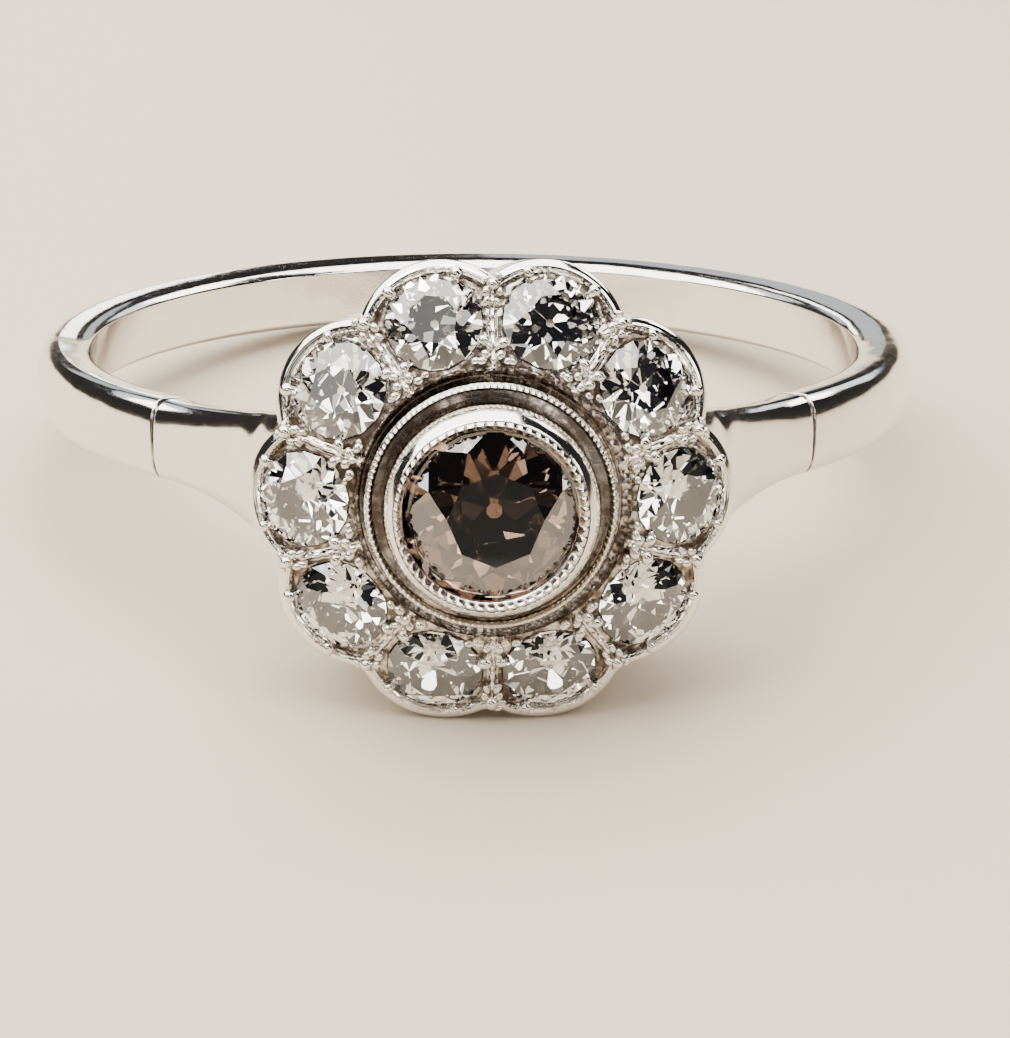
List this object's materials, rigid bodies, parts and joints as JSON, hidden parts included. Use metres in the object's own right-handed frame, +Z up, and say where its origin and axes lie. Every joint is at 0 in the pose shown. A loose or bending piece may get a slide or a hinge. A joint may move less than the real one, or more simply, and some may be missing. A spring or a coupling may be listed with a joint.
{
  "type": "daisy cluster ring",
  "caption": "Daisy cluster ring: a dark round stone in a raised beaded collet, ringed by small round old-cut stones in scalloped petals, on a slim polished shank.",
  "frame": {"origin": "middle of the bottom of the ring's box, on the surface that the ring lies on", "axes": "+Z up from the surface; the head with its stones faces -Y; +X to the right of someone who looks at the head; the finger hole leans 10.7 degrees from +Z towards +Y"},
  "size_m": [0.0206, 0.0244, 0.0098],
  "materials": {
    "white_metal": "polished white precious metal with fine wear and dark polish left in the crevices",
    "dark_diamond": "facetted dark brown stone, polished",
    "clear_diamond": "facetted near-colourless stone, polished"
  },
  "bodies": {
    "root": {"mount": "white_metal", "centre_stone": "dark_diamond", "halo_stone_1": "clear_diamond", "halo_stone_2": "clear_diamond", "halo_stone_3": "clear_diamond", "halo_stone_4": "clear_diamond", "halo_stone_5": "clear_diamond", "halo_stone_6": "clear_diamond", "halo_stone_7": "clear_diamond", "halo_stone_8": "clear_diamond", "halo_stone_9": "clear_diamond", "halo_stone_10": "clear_diamond"}
  },
  "joints": []
}
